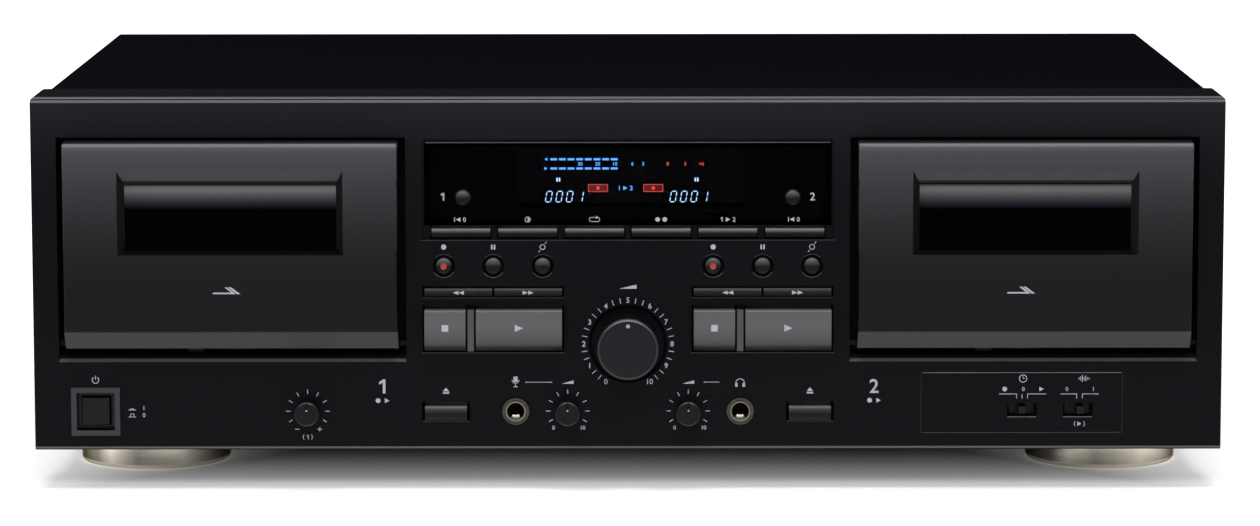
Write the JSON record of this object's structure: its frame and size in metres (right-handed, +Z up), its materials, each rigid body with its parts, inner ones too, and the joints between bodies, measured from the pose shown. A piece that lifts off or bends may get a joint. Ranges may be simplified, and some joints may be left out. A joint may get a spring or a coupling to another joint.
{
  "type": "cassette duplicator",
  "caption": "Twin cassette deck in a low black case, with two hinged tape doors, a display, push keys and level knobs, made to copy one tape onto another.",
  "frame": {"origin": "on the floor, midway between the outermost points in X and in Y", "axes": "+X to the right as seen from the front, +Z up, the front panel faces -Y"},
  "size_m": [0.435, 0.2858, 0.145],
  "materials": {
    "panel_black": "satin",
    "cover_black": "satin",
    "chassis_steel": "satin",
    "foot_gold": "brushed metallic",
    "door_black": "brushed satin",
    "smoked_window": "gloss",
    "display_glass": "gloss",
    "display_tube": "gloss",
    "board_green": "satin",
    "bezel_grey": "satin",
    "key_grey": "satin",
    "key_black": "satin",
    "knob_black": "satin with a bright rim",
    "nickel": "polished",
    "socket_black": "matte",
    "well_black": "matte",
    "holder_black": "satin",
    "spindle_white": "satin",
    "shaft_steel": "ground",
    "core_steel": "lacquered"
  },
  "bodies": {
    "deck": {"front_panel": "panel_black", "top_cover": "cover_black", "chassis": "chassis_steel", "feet": "foot_gold", "display_window": "display_glass", "display_tube": "display_tube", "control_board": "board_green", "power_bezel": "bezel_grey", "front_jacks": "nickel", "rca_jacks": "nickel", "ac_inlet": "socket_black", "power_transformer": "core_steel", "main_board": "board_green", "deck_plate_1": "well_black", "deck_plate_2": "well_black"},
    "door_1": {"door_1": "door_black", "door_1_window": "smoked_window", "cassette_holder_1": "holder_black"},
    "door_2": {"door_2": "door_black", "door_2_window": "smoked_window", "cassette_holder_2": "holder_black"},
    "function_key_1": {"function_key_1": "key_grey"},
    "function_key_2": {"function_key_2": "key_grey"},
    "function_key_3": {"function_key_3": "key_grey"},
    "function_key_4": {"function_key_4": "key_grey"},
    "function_key_5": {"function_key_5": "key_grey"},
    "function_key_6": {"function_key_6": "key_grey"},
    "counter_reset_1": {"counter_reset_1": "key_grey"},
    "record_1": {"record_1": "key_grey"},
    "pause_1": {"pause_1": "key_grey"},
    "mute_1": {"mute_1": "key_grey"},
    "rewind_1": {"rewind_1": "key_grey"},
    "forward_1": {"forward_1": "key_grey"},
    "stop_1": {"stop_1": "key_grey"},
    "play_1": {"play_1": "key_grey"},
    "counter_reset_2": {"counter_reset_2": "key_grey"},
    "record_2": {"record_2": "key_grey"},
    "pause_2": {"pause_2": "key_grey"},
    "mute_2": {"mute_2": "key_grey"},
    "rewind_2": {"rewind_2": "key_grey"},
    "forward_2": {"forward_2": "key_grey"},
    "stop_2": {"stop_2": "key_grey"},
    "play_2": {"play_2": "key_grey"},
    "eject_1": {"eject_1": "key_black"},
    "eject_2": {"eject_2": "key_black"},
    "power_button": {"power_button": "key_black"},
    "rec_level_knob": {"rec_level_knob": "knob_black"},
    "pitch_knob": {"pitch_knob": "knob_black"},
    "mic_level_knob": {"mic_level_knob": "knob_black"},
    "phones_level_knob": {"phones_level_knob": "knob_black"},
    "timer_switch": {"timer_switch": "key_grey"},
    "noise_switch": {"noise_switch": "key_grey"},
    "supply_spindle_1": {"supply_spindle_1": "spindle_white"},
    "takeup_spindle_1": {"takeup_spindle_1": "spindle_white"},
    "capstan_1": {"capstan_1": "shaft_steel"},
    "head_carriage_1": {"head_carriage_1": "shaft_steel"},
    "supply_spindle_2": {"supply_spindle_2": "spindle_white"},
    "takeup_spindle_2": {"takeup_spindle_2": "spindle_white"},
    "capstan_2": {"capstan_2": "shaft_steel"},
    "head_carriage_2": {"head_carriage_2": "shaft_steel"}
  },
  "joints": [
    {"name": "door_1_hinge", "type": "hinge", "parent": "deck", "child": "door_1", "pos_m": [-0.1447, -0.1229, 0.0536], "axis": [1, 0, 0], "range_deg": [0, 35]},
    {"name": "door_2_hinge", "type": "hinge", "parent": "deck", "child": "door_2", "pos_m": [0.1447, -0.1229, 0.0536], "axis": [1, 0, 0], "range_deg": [0, 35]},
    {"name": "function_key_1_press", "type": "slide", "parent": "deck", "child": "function_key_1", "axis": [0, 1, 0], "range_m": [0, 0.0012], "stiffness_N_per_m": 300},
    {"name": "function_key_2_press", "type": "slide", "parent": "deck", "child": "function_key_2", "axis": [0, 1, 0], "range_m": [0, 0.0012], "stiffness_N_per_m": 300},
    {"name": "function_key_3_press", "type": "slide", "parent": "deck", "child": "function_key_3", "axis": [0, 1, 0], "range_m": [0, 0.0012], "stiffness_N_per_m": 300},
    {"name": "function_key_4_press", "type": "slide", "parent": "deck", "child": "function_key_4", "axis": [0, 1, 0], "range_m": [0, 0.0012], "stiffness_N_per_m": 300},
    {"name": "function_key_5_press", "type": "slide", "parent": "deck", "child": "function_key_5", "axis": [0, 1, 0], "range_m": [0, 0.0012], "stiffness_N_per_m": 300},
    {"name": "function_key_6_press", "type": "slide", "parent": "deck", "child": "function_key_6", "axis": [0, 1, 0], "range_m": [0, 0.0012], "stiffness_N_per_m": 300},
    {"name": "counter_reset_1_press", "type": "slide", "parent": "deck", "child": "counter_reset_1", "axis": [0, 1, 0], "range_m": [0, 0.0012], "stiffness_N_per_m": 300},
    {"name": "record_1_press", "type": "slide", "parent": "deck", "child": "record_1", "axis": [0, 1, 0], "range_m": [0, 0.0012], "stiffness_N_per_m": 300},
    {"name": "pause_1_press", "type": "slide", "parent": "deck", "child": "pause_1", "axis": [0, 1, 0], "range_m": [0, 0.0012], "stiffness_N_per_m": 300},
    {"name": "mute_1_press", "type": "slide", "parent": "deck", "child": "mute_1", "axis": [0, 1, 0], "range_m": [0, 0.0012], "stiffness_N_per_m": 300},
    {"name": "rewind_1_press", "type": "slide", "parent": "deck", "child": "rewind_1", "axis": [0, 1, 0], "range_m": [0, 0.0012], "stiffness_N_per_m": 300},
    {"name": "forward_1_press", "type": "slide", "parent": "deck", "child": "forward_1", "axis": [0, 1, 0], "range_m": [0, 0.0012], "stiffness_N_per_m": 300},
    {"name": "stop_1_press", "type": "slide", "parent": "deck", "child": "stop_1", "axis": [0, 1, 0], "range_m": [0, 0.0012], "stiffness_N_per_m": 300},
    {"name": "play_1_press", "type": "slide", "parent": "deck", "child": "play_1", "axis": [0, 1, 0], "range_m": [0, 0.0012], "stiffness_N_per_m": 300},
    {"name": "counter_reset_2_press", "type": "slide", "parent": "deck", "child": "counter_reset_2", "axis": [0, 1, 0], "range_m": [0, 0.0012], "stiffness_N_per_m": 300},
    {"name": "record_2_press", "type": "slide", "parent": "deck", "child": "record_2", "axis": [0, 1, 0], "range_m": [0, 0.0012], "stiffness_N_per_m": 300},
    {"name": "pause_2_press", "type": "slide", "parent": "deck", "child": "pause_2", "axis": [0, 1, 0], "range_m": [0, 0.0012], "stiffness_N_per_m": 300},
    {"name": "mute_2_press", "type": "slide", "parent": "deck", "child": "mute_2", "axis": [0, 1, 0], "range_m": [0, 0.0012], "stiffness_N_per_m": 300},
    {"name": "rewind_2_press", "type": "slide", "parent": "deck", "child": "rewind_2", "axis": [0, 1, 0], "range_m": [0, 0.0012], "stiffness_N_per_m": 300},
    {"name": "forward_2_press", "type": "slide", "parent": "deck", "child": "forward_2", "axis": [0, 1, 0], "range_m": [0, 0.0012], "stiffness_N_per_m": 300},
    {"name": "stop_2_press", "type": "slide", "parent": "deck", "child": "stop_2", "axis": [0, 1, 0], "range_m": [0, 0.0012], "stiffness_N_per_m": 300},
    {"name": "play_2_press", "type": "slide", "parent": "deck", "child": "play_2", "axis": [0, 1, 0], "range_m": [0, 0.0012], "stiffness_N_per_m": 300},
    {"name": "eject_1_press", "type": "slide", "parent": "deck", "child": "eject_1", "axis": [0, 1, 0], "range_m": [0, 0.002], "stiffness_N_per_m": 300},
    {"name": "eject_2_press", "type": "slide", "parent": "deck", "child": "eject_2", "axis": [0, 1, 0], "range_m": [0, 0.002], "stiffness_N_per_m": 300},
    {"name": "power_button_press", "type": "slide", "parent": "deck", "child": "power_button", "axis": [0, 1, 0], "range_m": [0, 0.003], "stiffness_N_per_m": 300},
    {"name": "rec_level_knob_turn", "type": "hinge", "parent": "deck", "child": "rec_level_knob", "pos_m": [0, -0.1289, 0.0542], "axis": [0, 1, 0], "range_deg": [-150, 150]},
    {"name": "pitch_knob_turn", "type": "hinge", "parent": "deck", "child": "pitch_knob", "pos_m": [-0.1174, -0.1289, 0.0293], "axis": [0, 1, 0], "range_deg": [-150, 150]},
    {"name": "mic_level_knob_turn", "type": "hinge", "parent": "deck", "child": "mic_level_knob", "pos_m": [-0.0221, -0.1289, 0.0293], "axis": [0, 1, 0], "range_deg": [-150, 150]},
    {"name": "phones_level_knob_turn", "type": "hinge", "parent": "deck", "child": "phones_level_knob", "pos_m": [0.0221, -0.1289, 0.0293], "axis": [0, 1, 0], "range_deg": [-150, 150]},
    {"name": "timer_switch_slide", "type": "slide", "parent": "deck", "child": "timer_switch", "axis": [1, 0, 0], "range_m": [-0.002, 0.002]},
    {"name": "noise_switch_slide", "type": "slide", "parent": "deck", "child": "noise_switch", "axis": [1, 0, 0], "range_m": [-0.0017, 0]},
    {"name": "supply_spindle_1_spin", "type": "hinge", "parent": "deck", "child": "supply_spindle_1", "pos_m": [-0.16595, -0.1109, 0.0981], "axis": [0, 1, 0], "continuous": true},
    {"name": "takeup_spindle_1_spin", "type": "hinge", "parent": "deck", "child": "takeup_spindle_1", "pos_m": [-0.12345, -0.1109, 0.0981], "axis": [0, 1, 0], "continuous": true},
    {"name": "capstan_1_spin", "type": "hinge", "parent": "deck", "child": "capstan_1", "pos_m": [-0.1192, -0.1109, 0.07], "axis": [0, 1, 0], "continuous": true},
    {"name": "head_carriage_1_lift", "type": "slide", "parent": "deck", "child": "head_carriage_1", "axis": [0, 0, 1], "range_m": [0, 0.006]},
    {"name": "supply_spindle_2_spin", "type": "hinge", "parent": "deck", "child": "supply_spindle_2", "pos_m": [0.12345, -0.1109, 0.0981], "axis": [0, 1, 0], "continuous": true},
    {"name": "takeup_spindle_2_spin", "type": "hinge", "parent": "deck", "child": "takeup_spindle_2", "pos_m": [0.16595, -0.1109, 0.0981], "axis": [0, 1, 0], "continuous": true},
    {"name": "capstan_2_spin", "type": "hinge", "parent": "deck", "child": "capstan_2", "pos_m": [0.1702, -0.1109, 0.07], "axis": [0, 1, 0], "continuous": true},
    {"name": "head_carriage_2_lift", "type": "slide", "parent": "deck", "child": "head_carriage_2", "axis": [0, 0, 1], "range_m": [0, 0.006]}
  ]
}
